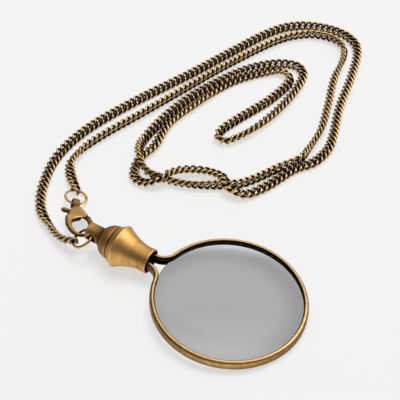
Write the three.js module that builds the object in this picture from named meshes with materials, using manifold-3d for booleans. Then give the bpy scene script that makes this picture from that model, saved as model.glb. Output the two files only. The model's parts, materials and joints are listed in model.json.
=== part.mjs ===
// A pocket magnifier worn as a pendant: a round lens in a split metal rim, a turned bell cap that
// closes the rim, and a long curb chain shut by a sprung lobster clasp. It lies on a table.
// Millimetres, +Z up, +Y from the lens to the neck. The origin is under the middle of the pendant.
import * as THREE from 'three';
import { mergeVertices } from 'three/addons/utils/BufferGeometryUtils.js';
import Module from 'manifold-3d';

const wasm = await Module();
wasm.setup();

// Lens and rim
const LENS_RADIUS = 21.0;
const LENS_EDGE = 1.0;
const LENS_CURVE_RADIUS = 120;
const RIM_WALL = 1.4;
const RIM_WIDTH = 3.0;
const RIM_LIP = 0.4;
const RIM_ROUNDING = 0.7;
const SEAT_CLEARANCE = 0.3;
const LEG_OFFSET = 1.9;
const LEG_BEND_RADIUS = 4.6;
const LEG_DEPTH = 6.5;

// Bell cap, from the gap between rim and mouth to the free end of the neck
const MOUTH_GAP = 3.3;
const FLARE_LENGTH = 10.1;
const BAND_LENGTH = 2.3;
const DOME_LENGTH = 3.8;
const NECK_LENGTH = 4.7;
const MOUTH_WALL = 0.55;
const WAIST_WALL = 0.4;
const RIDGE_RADIUS = 6.315;
const DOME_RADIUS = 5.05;
const DOME_FOOT_RADIUS = 2.9;
const NECK_RADIUS = 2.6;
const NECK_WALL = 0.65;
const NECK_CHAMFER = 0.25;
const NECK_END_PLACE = 33.912;
const CROSS_HOLE_FROM_END = 2.35;
const CROSS_HOLE_RADIUS = 1.5;
const FILL_LENGTH = 4.5;

// Jump rings; the lower one goes through the neck's wall, seen from the neck's end
const RING_RADIUS = 3.2;
const RING_WIRE = 0.8;
const RING_SPLIT = 0.25;
const RING_IN_NECK = new THREE.Vector3(-0.47, -1.47, 0.19);
const RING_TOWARDS_NECK = new THREE.Vector3(0.713, -0.582, 0.392);
const LOWER_RING_NORMAL = new THREE.Vector3(-0.22, 0.44, 0.87);
const UPPER_RING_TO_EYE = new THREE.Vector3(-0.849, -0.517, 0.116);
const UPPER_RING_ROLL = THREE.MathUtils.degToRad(-14);

// Clasp, in its own plane: +Y from the eye to the claw, +X to the hook's back
const CLAW_FROM_RING = new THREE.Vector3(0.9, 1.4, -0.25);
const CLAW_CLEARANCE = 0.42;
const CLASP_ROLL = THREE.MathUtils.degToRad(-26);
const CLASP_THICKNESS = 2.8;
const CLASP_ROUNDING = 0.6;
const EYE_WIDTH = 2.4;
const EYE_PLAY = 0.55;
const EYE_WALL = 0.55;
const EYE_REACH = 0.12;
const SHOULDER_AT = 5.0;
const WINDOW_AT = 8.0;
const ARM_AT = 10.0;
const ARM_OFFSET = 3.35;
const ARM_WIDTH = 1.7;
const CLAW_WIDTH = 1.4;
const SLOT_HEIGHT = 1.3;
const LEVER_CLEARANCE = 0.15;
const PIN_PLACE = new THREE.Vector2(-1.6, 5.6);
const PIN_RADIUS = 0.45;
const PIN_CLEARANCE = 0.15;
const KNOB_PLACE = new THREE.Vector2(4.75, 3.7);
const KNOB_RADIUS = 0.95;
const THUMB_ARM_WIDTH = 1.2;
const LEVER_BOSS_WIDTH = 1.7;
const SPRING_WIRE = 0.36;
// The lever's slot and its spring, from the pin
const SLOT_OUTLINE = [
  [7.6, -4.1], [7.6, -0.4], [3.8, 0.4], [2.0, 1.4], [1.0, 3.4], [-3.4, 3.4], [-3.4, -2.0], [1.0, -2.2], [2.9, -3.7],
];
const SPRING_LINE = [[0.9, -1.85], [2.2, -2.75], [3.2, -3.05], [3.9, -2.65], [3.95, -2.05]];

// Curb chain
const LINK_HALF_LENGTH = 1.45;
const LINK_HALF_WIDTH = 1.125;
const LINK_WIRE = 0.72;
const LINK_PITCH = 2.0;
const LINK_HALF_TWIST = THREE.MathUtils.degToRad(-48);
const LINK_CLEARANCE = 0.12;
const END_LINKS = 12;
const UPPER_END_ROLL = THREE.MathUtils.degToRad(56);
const LOWER_END_ROLL = THREE.MathUtils.degToRad(34);
const RUN_WIDTH = 2.6;
const RUN_THICKNESS = 1.6;
const RUN_GAP = 0.3;

const UPPER_ROUTE = [
  [16.35, 49.8, 1.32], [20.6, 54.8, 1.32], [25.8, 58.4, 1.05], [32.5, 59.1, 1.0], [41.5, 57.3, 1.0],
  [56.5, 51.7, 1.0], [72.3, 45.8, 1.0], [91.7, 41.0, 1.0], [112.5, 32.4, 1.0], [118.4, 27.9, 1.0],
  [121.6, 22.2, 1.0], [122.5, 15.3, 1.0], [120.3, 10.7, 1.0], [116.0, 8.4, 1.0], [103.5, 6.1, 1.0],
  [90.6, 2.1, 1.0], [78.4, -1.2, 1.0], [70.5, -2.0, 1.0], [62.5, -1.2, 1.0], [56.3, 2.0, 1.0],
  [49.0, 5.6, 1.0], [44.2, 8.8, 0.95], [40.6, 14.0, 0.95], [36.3, 20.7, 1.0], [35.0, 25.5, 0.95],
  [34.8, 31.0, 0.95], [34.6, 36.0, 1.7], [37.2, 40.9, 3.05], [41.0, 44.3, 2.3], [46.6, 46.2, 1.1],
  [54.0, 45.55, 1.0], [60.0, 44.5, 1.0],
];
const MIDDLE_ROUTE = [
  [60.3, 44.45, 1.0], [66.0, 43.45, 1.0], [77.5, 40.5, 1.0], [94.0, 33.6, 1.0], [101.4, 26.8, 1.0],
  [104.2, 21.2, 1.0], [103.2, 17.0, 1.0], [98.8, 15.1, 1.0], [86.0, 15.0, 1.0], [71.0, 17.4, 1.0],
  [61.6, 20.3, 1.0], [58.8, 22.6, 1.0], [59.1, 25.2, 1.0], [62.4, 26.3, 1.0], [69.6, 24.4, 1.0],
  [83.8, 19.6, 1.0], [94.6, 17.9, 1.0], [98.3, 19.9, 1.0], [98.1, 24.0, 1.0], [86.6, 33.1, 1.0],
  [75.0, 38.3, 1.0], [68.3, 39.76, 1.0], [62.3, 40.46, 1.0],
];
const LOWER_ROUTE = [
  [-3.6, 36.96, 4.59], [-3.7, 40.0, 3.45], [-2.4, 43.9, 2.2], [0.2, 48.5, 1.45], [3.7, 53.6, 1.2],
  [8.8, 58.0, 1.05], [15.2, 61.0, 1.0], [24.0, 63.8, 1.0], [33.0, 64.1, 1.0], [43.3, 62.7, 1.0],
  [59.8, 57.7, 1.0], [83.6, 48.5, 1.0], [97.4, 44.0, 1.0], [115.4, 36.4, 1.0], [122.0, 32.0, 1.0],
  [126.2, 24.8, 1.0], [127.2, 15.0, 1.0], [124.8, 8.1, 1.0], [119.5, 5.0, 1.0], [107.2, 1.8, 1.0],
  [91.1, -1.9, 1.0], [79.3, -5.7, 1.0], [72.4, -7.3, 1.0], [66.0, -7.0, 1.0], [59.0, -4.0, 1.0],
  [46.1, 2.0, 1.0], [40.9, 5.6, 1.6], [40.2, 10.2, 3.05], [43.4, 13.8, 3.05], [43.9, 21.0, 2.0],
  [41.6, 27.1, 2.4], [37.0, 29.7, 3.05], [32.6, 31.2, 2.9], [29.8, 34.1, 1.3], [30.2, 38.0, 0.95],
  [34.6, 40.9, 0.95], [39.4, 41.4, 0.95], [44.6, 39.5, 1.0], [56.0, 41.2, 1.0], [62.0, 40.5, 1.0],
];

// Materials
const agedBrass = new THREE.MeshStandardMaterial({ color: 0x9a7436, roughness: 0.38, metalness: 1.0 });
const darkBrass = new THREE.MeshStandardMaterial({ color: 0x7d5c28, roughness: 0.45, metalness: 1.0 });
const chainBrass = new THREE.MeshStandardMaterial({ color: 0x8d692f, roughness: 0.4, metalness: 1.0 });
const greyGlass = new THREE.MeshStandardMaterial({ color: 0xa9a9a8, roughness: 0.05, transparent: true, opacity: 0.5 });
const solder = new THREE.MeshStandardMaterial({ color: 0x6e6a60, roughness: 0.6, metalness: 0.8 });
const springSteel = new THREE.MeshStandardMaterial({ color: 0x8c8c8c, roughness: 0.3, metalness: 1.0 });

// Solids
function solid(geometry) {
  const bare = geometry.index ? geometry.toNonIndexed() : geometry.clone();
  bare.deleteAttribute('normal');
  bare.deleteAttribute('uv');
  const merged = mergeVertices(bare, 1e-4);
  return new wasm.Manifold(new wasm.Mesh({
    numProp: 3,
    vertProperties: new Float32Array(merged.attributes.position.array),
    triVerts: new Uint32Array(merged.index.array),
  }));
}

function geometryOf(manifold) {
  const mesh = manifold.getMesh();
  const geometry = new THREE.BufferGeometry();
  geometry.setAttribute('position', new THREE.BufferAttribute(new Float32Array(mesh.vertProperties), 3));
  geometry.setIndex(new THREE.BufferAttribute(new Uint32Array(mesh.triVerts), 1));
  geometry.computeVertexNormals();
  return geometry;
}

function piece(name, geometry, material) {
  const mesh = new THREE.Mesh(geometry, material);
  mesh.name = name;
  return mesh;
}

// A curve that is stepped at its own points, so that tight bends keep their steps
class Route extends THREE.CatmullRomCurve3 {
  getPointAt(u, target) {
    return this.getPoint(u, target);
  }

  getTangentAt(u, target) {
    return this.getTangent(u, target);
  }

  getSpacedPoints(count) {
    return this.getPoints(count);
  }
}

function sweep(points, section) {
  return new THREE.ExtrudeGeometry(section, {
    steps: points.length - 1,
    extrudePath: new Route(points),
    bevelEnabled: false,
  });
}

function ovalSection(across, along, sides) {
  const corners = [];
  for (let i = 0; i < sides; i += 1) {
    const angle = ((i + 0.5) * 2 * Math.PI) / sides;
    corners.push(new THREE.Vector2((across / 2) * Math.cos(angle), (along / 2) * Math.sin(angle)));
  }
  return new THREE.Shape(corners);
}

function curvePoints(flatPoints) {
  return new THREE.SplineCurve(flatPoints.map(([x, y]) => new THREE.Vector2(x, y)));
}

// Places along the pendant's axis from the lens centre, and the radii that follow from the rim
const rimOuterRadius = LENS_RADIUS - RIM_LIP + RIM_WALL;
const mouthAt = rimOuterRadius + MOUTH_GAP;
const ridgeAt = mouthAt + FLARE_LENGTH;
const grooveAt = ridgeAt + BAND_LENGTH;
const neckAt = grooveAt + DOME_LENGTH;
const neckEndAt = neckAt + NECK_LENGTH;
const legEnd = mouthAt + LEG_DEPTH;
const mouthBore = Math.hypot(LEG_OFFSET + RIM_WALL / 2, RIM_WIDTH / 2) + SEAT_CLEARANCE - 0.1;
const mouthRadius = mouthBore + MOUTH_WALL;
const neckBore = NECK_RADIUS - NECK_WALL;

// The pendant rests on the far edge of the rim's flat side and on the cap's ridge
const rimRestRadius = rimOuterRadius - RIM_ROUNDING;
const pendantTilt = Math.atan2(RIDGE_RADIUS - RIM_WIDTH / 2, ridgeAt + rimRestRadius);
const pendant = new THREE.Group();
pendant.rotation.x = pendantTilt;
pendant.position.set(
  0,
  NECK_END_PLACE - neckEndAt * Math.cos(pendantTilt),
  rimRestRadius * Math.sin(pendantTilt) + (RIM_WIDTH / 2) * Math.cos(pendantTilt),
);
pendant.updateMatrix();
const neckEnd = new THREE.Vector3(0, neckEndAt, 0).applyMatrix4(pendant.matrix);

function lens() {
  const sag = LENS_CURVE_RADIUS - Math.sqrt(LENS_CURVE_RADIUS ** 2 - LENS_RADIUS ** 2);
  const crown = LENS_EDGE / 2 + sag;
  const steps = 6;
  const profile = [];
  for (let i = 0; i <= steps; i += 1) {
    const radius = (LENS_RADIUS * i) / steps;
    const drop = LENS_CURVE_RADIUS - Math.sqrt(LENS_CURVE_RADIUS ** 2 - radius ** 2);
    profile.push(new THREE.Vector2(radius, drop - crown));
  }
  const upper = profile.map((point) => new THREE.Vector2(point.x, -point.y)).reverse();
  const geometry = new THREE.LatheGeometry([...profile, ...upper], 48);
  return geometry.rotateX(Math.PI / 2);
}

// The rim's middle line: one leg, the ring round the lens, the other leg
const rimLineRadius = rimOuterRadius - RIM_WALL / 2;

function rimLine() {
  const bendX = LEG_OFFSET + LEG_BEND_RADIUS;
  const bendY = Math.sqrt((rimLineRadius + LEG_BEND_RADIUS) ** 2 - bendX ** 2);
  const lean = Math.atan2(bendX, bendY);
  const line = [];
  const legSteps = 3;
  const bendSteps = 7;
  const ringSteps = 66;
  for (let i = 0; i < legSteps; i += 1) {
    line.push([-LEG_OFFSET, legEnd + ((bendY - legEnd) * i) / legSteps]);
  }
  for (let i = 0; i < bendSteps; i += 1) {
    const angle = -((Math.PI / 2 - lean) * i) / bendSteps;
    line.push([-bendX + LEG_BEND_RADIUS * Math.cos(angle), bendY + LEG_BEND_RADIUS * Math.sin(angle)]);
  }
  for (let i = 0; i <= ringSteps / 2; i += 1) {
    const angle = Math.PI / 2 + lean + ((Math.PI - lean) * 2 * i) / ringSteps;
    line.push([rimLineRadius * Math.cos(angle), rimLineRadius * Math.sin(angle)]);
  }
  const mirrored = line.slice(0, -1).map(([x, y]) => [-x, y]).reverse();
  return [...line, ...mirrored].map(([x, y]) => new THREE.Vector3(x, y, 0));
}

// The rim's section: rounded outside, with a groove inside that holds the edge of the lens
function rimSection() {
  const half = RIM_WIDTH / 2;
  const out = -RIM_WALL / 2;
  const lip = RIM_WALL / 2;
  const grooveFloor = lip - RIM_LIP - SEAT_CLEARANCE;
  const grooveHalf = LENS_EDGE / 2 + SEAT_CLEARANCE;
  const section = new THREE.Shape();
  section.moveTo(-half, lip);
  section.lineTo(-half, out + RIM_ROUNDING);
  section.quadraticCurveTo(-half, out, -half + RIM_ROUNDING, out);
  section.lineTo(half - RIM_ROUNDING, out);
  section.quadraticCurveTo(half, out, half, out + RIM_ROUNDING);
  section.lineTo(half, lip);
  section.lineTo(grooveHalf, lip);
  section.lineTo(grooveHalf, grooveFloor);
  section.lineTo(-grooveHalf, grooveFloor);
  section.lineTo(-grooveHalf, lip);
  section.closePath();
  return section;
}

function rim() {
  const line = rimLine();
  return new THREE.ExtrudeGeometry(rimSection(), {
    steps: line.length - 1,
    curveSegments: 3,
    extrudePath: new Route(line),
    bevelEnabled: false,
  });
}

// The bell cap is turned hollow, from the open mouth to the open end of its tubular neck
function bellCap() {
  const outer = [
    new THREE.Vector2(NECK_RADIUS - NECK_CHAMFER, neckEndAt),
    new THREE.Vector2(NECK_RADIUS, neckEndAt - NECK_CHAMFER),
    new THREE.Vector2(NECK_RADIUS, neckAt + 0.2),
  ];
  const dome = new THREE.QuadraticBezierCurve(
    new THREE.Vector2(DOME_FOOT_RADIUS, neckAt),
    new THREE.Vector2(DOME_RADIUS - 0.45, neckAt - 1.3),
    new THREE.Vector2(DOME_RADIUS, grooveAt + 0.2),
  );
  outer.push(...dome.getPoints(5));
  const band = new THREE.CubicBezierCurve(
    new THREE.Vector2(DOME_RADIUS, grooveAt - 0.2),
    new THREE.Vector2(RIDGE_RADIUS - 0.4, ridgeAt + 1.6),
    new THREE.Vector2(RIDGE_RADIUS, ridgeAt + 0.9),
    new THREE.Vector2(RIDGE_RADIUS, ridgeAt),
  );
  outer.push(...band.getPoints(4));
  const waist = mouthBore + WAIST_WALL;
  const flare = new THREE.CubicBezierCurve(
    new THREE.Vector2(RIDGE_RADIUS - 0.2, ridgeAt - 0.9),
    new THREE.Vector2((RIDGE_RADIUS + waist) / 2, ridgeAt - 3.0),
    new THREE.Vector2(waist - 0.05, ridgeAt - 4.8),
    new THREE.Vector2(waist, mouthAt + 1.3),
  );
  outer.push(...flare.getPoints(8));
  outer.push(new THREE.Vector2(mouthRadius, mouthAt + 0.2));
  outer.push(new THREE.Vector2(mouthRadius - 0.15, mouthAt));
  const inner = [
    new THREE.Vector2(mouthBore, mouthAt),
    new THREE.Vector2(mouthBore, ridgeAt),
    new THREE.Vector2(neckBore, grooveAt + 1),
    new THREE.Vector2(neckBore, neckEndAt),
  ];
  const profile = [...outer, ...inner, outer[0].clone()].reverse();
  const shell = solid(new THREE.LatheGeometry(profile, 32));
  const drill = new THREE.CylinderGeometry(CROSS_HOLE_RADIUS, CROSS_HOLE_RADIUS, 4 * NECK_RADIUS, 20);
  drill.rotateZ(Math.PI / 2).translate(0, neckEndAt - CROSS_HOLE_FROM_END, 0);
  return geometryOf(shell.subtract(solid(drill)));
}

// Solder that fills the cap round the ends of the rim's legs
function solderFill() {
  const slotLength = FILL_LENGTH - 1.2;
  const start = legEnd + SEAT_CLEARANCE - slotLength;
  const plug = new THREE.CylinderGeometry(mouthBore - SEAT_CLEARANCE, mouthBore - SEAT_CLEARANCE, FILL_LENGTH, 24);
  plug.translate(0, start + FILL_LENGTH / 2, 0);
  let body = solid(plug);
  for (const side of [-1, 1]) {
    const slot = new THREE.BoxGeometry(
      RIM_WALL + 2 * SEAT_CLEARANCE,
      slotLength + 1,
      RIM_WIDTH + 2 * SEAT_CLEARANCE,
    );
    slot.translate(side * LEG_OFFSET, start + (slotLength - 1) / 2, 0);
    body = body.subtract(solid(slot));
  }
  return geometryOf(body);
}

pendant.add(
  piece('lens', lens(), greyGlass),
  piece('rim', rim(), agedBrass),
  piece('bell_cap', bellCap(), agedBrass),
  piece('solder_fill', solderFill(), solder),
);

// Jump rings: round wire bent to a circle, its cut ends a hair apart
function jumpRing() {
  const steps = 32;
  const open = RING_SPLIT / RING_RADIUS;
  const line = [];
  for (let i = 0; i <= steps; i += 1) {
    const angle = open / 2 + ((2 * Math.PI - open) * i) / steps;
    line.push(new THREE.Vector3(RING_RADIUS * Math.cos(angle), RING_RADIUS * Math.sin(angle), 0));
  }
  return sweep(line, ovalSection(RING_WIRE, RING_WIRE, 8));
}

function placeByAxes(object, origin, xAxis, yAxis, zAxis) {
  object.quaternion.setFromRotationMatrix(new THREE.Matrix4().makeBasis(xAxis, yAxis, zAxis));
  object.position.copy(origin);
}

const up = new THREE.Vector3(0, 0, 1);
const chainStart = new THREE.Vector3(...UPPER_ROUTE[0]);
const lowerRingNormal = LOWER_RING_NORMAL.clone().normalize();
const lowerRingCentre = neckEnd.clone().add(RING_IN_NECK);
lowerRingCentre.addScaledVector(RING_TOWARDS_NECK.clone().normalize(), -RING_RADIUS);
const clawOffset = RING_RADIUS - RING_WIRE / 2 - CLAW_WIDTH / 2 - CLAW_CLEARANCE;
const clawCentre = lowerRingCentre.clone().addScaledVector(CLAW_FROM_RING.clone().normalize(), clawOffset);
const eyeCentre = chainStart.clone().addScaledVector(UPPER_RING_TO_EYE.clone().normalize(), 2 * RING_RADIUS - EYE_REACH);

// The clasp lies along the line from its eye to its claw, rolled a little about it
const claspLine = clawCentre.clone().sub(eyeCentre);
const claspLength = claspLine.length();
const claspAlong = claspLine.clone().normalize();
const claspLevel = claspAlong.clone().cross(up).normalize();
const claspAcross = claspLevel.clone().applyAxisAngle(claspAlong, CLASP_ROLL);
const claspNormal = claspAcross.clone().cross(claspAlong);

const lowerRing = piece('lower_ring', jumpRing(), agedBrass);
const lowerRingCut = up.clone().cross(lowerRingNormal).normalize();
placeByAxes(lowerRing, lowerRingCentre, lowerRingCut, lowerRingNormal.clone().cross(lowerRingCut), lowerRingNormal);

// The upper ring goes through the clasp's eye and the chain's first link
const upperRingAlong = chainStart.clone().sub(eyeCentre).normalize();
const upperRingAcross = claspLevel.clone().applyAxisAngle(claspAlong, UPPER_RING_ROLL);
const upperRingNormal = upperRingAcross.cross(upperRingAlong).normalize();
const upperRing = piece('upper_ring', jumpRing(), agedBrass);
const upperRingCut = upperRingAlong.clone().applyAxisAngle(upperRingNormal, THREE.MathUtils.degToRad(-50));
placeByAxes(
  upperRing,
  eyeCentre.clone().add(chainStart).multiplyScalar(0.5),
  upperRingCut,
  upperRingNormal.clone().cross(upperRingCut),
  upperRingNormal,
);

// Clasp
const clasp = new THREE.Group();
placeByAxes(clasp, eyeCentre, claspAcross, claspAlong, claspNormal);

function flatBar(shape, thickness, rounding) {
  const geometry = new THREE.ExtrudeGeometry(shape, {
    depth: thickness - 2 * rounding,
    curveSegments: 6,
    bevelEnabled: rounding > 0,
    bevelThickness: rounding,
    bevelSize: rounding,
    bevelOffset: -rounding,
    bevelSegments: 2,
  });
  return geometry.translate(0, 0, rounding - thickness / 2);
}

function stadium(from, to, width) {
  const along = to.clone().sub(from);
  const turn = along.angle();
  const shape = new THREE.Shape();
  shape.absarc(from.x, from.y, width / 2, turn + Math.PI / 2, turn + (3 * Math.PI) / 2, false);
  shape.absarc(to.x, to.y, width / 2, turn - Math.PI / 2, turn + Math.PI / 2, false);
  shape.closePath();
  return shape;
}

function pinHole(radius) {
  const drill = new THREE.CylinderGeometry(radius, radius, 2 * CLASP_THICKNESS, 16);
  return solid(drill.rotateX(Math.PI / 2).translate(PIN_PLACE.x, PIN_PLACE.y, 0));
}

const eyeHoleRadius = RING_WIRE / 2 + EYE_PLAY;
const eyeRadius = eyeHoleRadius + EYE_WALL;
const armInside = ARM_OFFSET - ARM_WIDTH / 2;
const armOutside = ARM_OFFSET + ARM_WIDTH / 2;
const leverThickness = SLOT_HEIGHT - 2 * LEVER_CLEARANCE;

function fromPin([x, y]) {
  return [PIN_PLACE.x + x, PIN_PLACE.y + y];
}

function flatLine(points, steps) {
  return curvePoints(points).getPoints(steps).map((point) => new THREE.Vector3(point.x, point.y, 0));
}

// The body: a shield with an eye at one end and a hook that runs on from its side
function claspBody() {
  const shield = new THREE.Shape();
  shield.moveTo(-EYE_WIDTH / 2, 0.6);
  shield.lineTo(EYE_WIDTH / 2, 0.6);
  shield.quadraticCurveTo(EYE_WIDTH / 2 + 0.2, SHOULDER_AT / 2, ARM_OFFSET - 0.6, SHOULDER_AT);
  shield.quadraticCurveTo(armOutside, SHOULDER_AT + 2, armOutside, ARM_AT);
  shield.lineTo(armInside, ARM_AT + 0.4);
  shield.quadraticCurveTo(armInside - 0.4, WINDOW_AT + 0.6, 0, WINDOW_AT);
  shield.quadraticCurveTo(-1.6, WINDOW_AT - 0.4, 0.45 - ARM_OFFSET, SHOULDER_AT + 1.2);
  shield.quadraticCurveTo(0.55 - ARM_OFFSET, SHOULDER_AT - 0.4, 1.45 - ARM_OFFSET, SHOULDER_AT - 1.8);
  shield.quadraticCurveTo(-EYE_WIDTH / 2 - 0.1, SHOULDER_AT / 2 - 0.3, -EYE_WIDTH / 2, 0.6);
  let body = solid(flatBar(shield, CLASP_THICKNESS, CLASP_ROUNDING));

  const hook = flatLine([
    [ARM_OFFSET - 0.05, ARM_AT - 1], [ARM_OFFSET, ARM_AT + 0.4], [ARM_OFFSET - 0.3, claspLength - 4.6],
    [2.0, claspLength - 1.5], [0.9, claspLength - 0.3], [0, claspLength],
    [-0.9, claspLength - 0.25], [-1.75, claspLength - 1],
  ], 22);
  body = body.add(solid(sweep(hook, ovalSection(CLAW_WIDTH, CLAW_WIDTH, 10))));

  const eye = new THREE.CylinderGeometry(eyeRadius, eyeRadius, EYE_WIDTH, 20).rotateZ(Math.PI / 2);
  const stem = new THREE.BoxGeometry(EYE_WIDTH, SHOULDER_AT / 2, 2 * eyeRadius - 0.4);
  stem.translate(0, SHOULDER_AT / 4, 0);
  const bore = new THREE.CylinderGeometry(eyeHoleRadius, eyeHoleRadius, 2 * EYE_WIDTH, 16).rotateZ(Math.PI / 2);
  body = body.add(solid(eye)).add(solid(stem)).subtract(solid(bore));

  const slot = new THREE.Shape(SLOT_OUTLINE.map((point) => new THREE.Vector2(...fromPin(point))));
  body = body.subtract(solid(flatBar(slot, SLOT_HEIGHT, 0)));
  return geometryOf(body.subtract(pinHole(PIN_RADIUS + PIN_CLEARANCE)));
}

// The lever turns on its pin: a gate that closes the hook on one side, a thumb knob on the other
function claspLever() {
  const gateRoot = new THREE.Vector2(0.3 - ARM_OFFSET, WINDOW_AT - 0.4);
  const thumbArm = flatBar(stadium(PIN_PLACE, KNOB_PLACE, THUMB_ARM_WIDTH), leverThickness, 0);
  const boss = flatBar(stadium(PIN_PLACE, gateRoot, LEVER_BOSS_WIDTH), leverThickness, 0);
  const gate = flatLine([
    [gateRoot.x, gateRoot.y], [-ARM_OFFSET - 0.05, ARM_AT - 0.8], [-ARM_OFFSET, ARM_AT + 0.6],
    [-ARM_OFFSET + 0.25, claspLength - 4.6], [-ARM_OFFSET + 1, claspLength - 2.35],
  ], 10);
  const knob = new THREE.SphereGeometry(KNOB_RADIUS, 12, 8);
  knob.scale(1.25, 0.9, 0.95).rotateZ(-0.25).translate(KNOB_PLACE.x, KNOB_PLACE.y, 0);
  let lever = solid(thumbArm).add(solid(boss));
  lever = lever.add(solid(sweep(gate, ovalSection(ARM_WIDTH, ARM_WIDTH - 0.2, 10))));
  lever = lever.add(solid(knob));
  return geometryOf(lever.subtract(pinHole(PIN_RADIUS + PIN_CLEARANCE)));
}

function claspPin() {
  const pin = new THREE.CylinderGeometry(PIN_RADIUS, PIN_RADIUS, CLASP_THICKNESS, 16);
  return pin.rotateX(Math.PI / 2).translate(PIN_PLACE.x, PIN_PLACE.y, 0);
}

// A bent wire spring that pushes the thumb arm away from the eye
function claspSpring() {
  return sweep(flatLine(SPRING_LINE.map(fromPin), 8), ovalSection(SPRING_WIRE, SPRING_WIRE, 6));
}

clasp.add(
  piece('clasp_body', claspBody(), agedBrass),
  piece('clasp_lever', claspLever(), agedBrass),
  piece('clasp_pin', claspPin(), darkBrass),
  piece('clasp_spring', claspSpring(), springSteel),
);

// Curb link: a round wire bent to an oval loop whose two ends are twisted apart
function curbLink() {
  const hoop = new THREE.TorusGeometry(1, LINK_WIRE / 2, 6, 14);
  const place = hoop.attributes.position;
  for (let i = 0; i < place.count; i += 1) {
    const x = place.getX(i);
    const y = place.getY(i);
    const angle = Math.atan2(y, x);
    const outward = Math.hypot(x, y) - 1;
    const across = place.getZ(i);
    const twist = LINK_HALF_TWIST * Math.cos(angle);
    const slope = Math.hypot(LINK_HALF_WIDTH * Math.cos(angle), LINK_HALF_LENGTH * Math.sin(angle));
    const along = LINK_HALF_LENGTH * Math.cos(angle) + (outward * LINK_HALF_WIDTH * Math.cos(angle)) / slope;
    const aside = LINK_HALF_WIDTH * Math.sin(angle) + (outward * LINK_HALF_LENGTH * Math.sin(angle)) / slope;
    place.setXYZ(
      i,
      along,
      aside * Math.cos(twist) - across * Math.sin(twist),
      aside * Math.sin(twist) + across * Math.cos(twist),
    );
  }
  return hoop;
}

function chainRun(points, label) {
  return piece(`chain_run_${label}`, sweep(points, ovalSection(RUN_THICKNESS, RUN_WIDTH, 8)), chainBrass);
}

// A strand of chain: its first links on the ring, then the free run as one plain band
function strand(routePoints, label, endRoll) {
  const group = new THREE.Group();
  const curve = new THREE.CatmullRomCurve3(routePoints.map((point) => new THREE.Vector3(...point)));
  curve.arcLengthDivisions = 2000;
  const length = curve.getLength();
  const firstLink = LINK_HALF_LENGTH - (RING_WIRE / 2 + LINK_WIRE / 2 + LINK_CLEARANCE);
  for (let i = 0; i < END_LINKS; i += 1) {
    const at = (firstLink + i * LINK_PITCH) / length;
    const tangent = curve.getTangentAt(at);
    const level = up.clone().cross(tangent).normalize();
    const roll = endRoll * (1 - i / END_LINKS);
    const across = level.applyAxisAngle(tangent, roll);
    const link = piece(`link_${label}_${String(i + 1).padStart(2, '0')}`, curbLink(), chainBrass);
    placeByAxes(link, curve.getPointAt(at), tangent, across, tangent.clone().cross(across));
    group.add(link);
  }
  const lastLink = firstLink + (END_LINKS - 1) * LINK_PITCH;
  const runStart = (lastLink + LINK_HALF_LENGTH + LINK_WIRE / 2 + RUN_GAP) / length;
  const runPoints = [curve.getPointAt(runStart)];
  for (let i = 1; i < routePoints.length; i += 1) {
    const point = curve.getPoint(i / (routePoints.length - 1));
    const ahead = point.clone().sub(runPoints[0]).dot(curve.getTangentAt(runStart));
    if (runPoints.length > 1 || ahead > RUN_WIDTH) {
      runPoints.push(point);
    }
  }
  group.add(chainRun(runPoints, label));
  return group;
}

const necklace = new THREE.Group();
necklace.add(pendant, lowerRing, upperRing, clasp);
necklace.add(strand(UPPER_ROUTE, 'upper', UPPER_END_ROLL), strand(LOWER_ROUTE, 'lower', LOWER_END_ROLL));
necklace.add(chainRun(MIDDLE_ROUTE.map((point) => new THREE.Vector3(...point)), 'middle'));
export default necklace;
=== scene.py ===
# Dresses the magnifier pendant necklace: aged brass, a grey glass lens and a curb chain on a pale table.
import json
import math

import bmesh
import bpy
import numpy as np
from mathutils import Matrix, Vector


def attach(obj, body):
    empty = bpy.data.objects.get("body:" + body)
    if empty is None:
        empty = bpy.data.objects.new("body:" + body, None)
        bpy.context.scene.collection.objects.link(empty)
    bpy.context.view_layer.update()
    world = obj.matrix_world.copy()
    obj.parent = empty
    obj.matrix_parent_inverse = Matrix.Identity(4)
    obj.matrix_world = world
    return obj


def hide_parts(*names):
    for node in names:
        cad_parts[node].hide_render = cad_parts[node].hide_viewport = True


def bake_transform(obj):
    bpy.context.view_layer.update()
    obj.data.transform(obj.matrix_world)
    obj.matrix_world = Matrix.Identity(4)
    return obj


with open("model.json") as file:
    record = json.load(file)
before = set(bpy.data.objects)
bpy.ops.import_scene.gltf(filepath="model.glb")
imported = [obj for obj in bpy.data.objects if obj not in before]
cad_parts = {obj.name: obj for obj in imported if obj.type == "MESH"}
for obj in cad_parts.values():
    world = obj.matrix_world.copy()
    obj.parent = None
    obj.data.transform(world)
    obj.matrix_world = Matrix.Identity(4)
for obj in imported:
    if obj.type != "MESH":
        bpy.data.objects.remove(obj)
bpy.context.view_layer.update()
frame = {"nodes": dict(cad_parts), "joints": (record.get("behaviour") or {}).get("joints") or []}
joints = {joint["name"]: joint for joint in frame["joints"]}
scene = bpy.context.scene
scene.view_settings.view_transform = "Standard"

# Camera: 45 degrees down, from the side of the pendant that the photograph shows
VIEW_HEADING = math.radians(30.26)
VIEW_ELEVATION = math.radians(45)
VIEW_DISTANCE = 0.3762
VIEW_TARGET = Vector((0.0328, 0.0163, 0.0))
LENS_OF_CAMERA = 112.5
SENSOR_WIDTH = 36
NEAREST_SEEN = 0.01
FURTHEST_SEEN = 20

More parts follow.
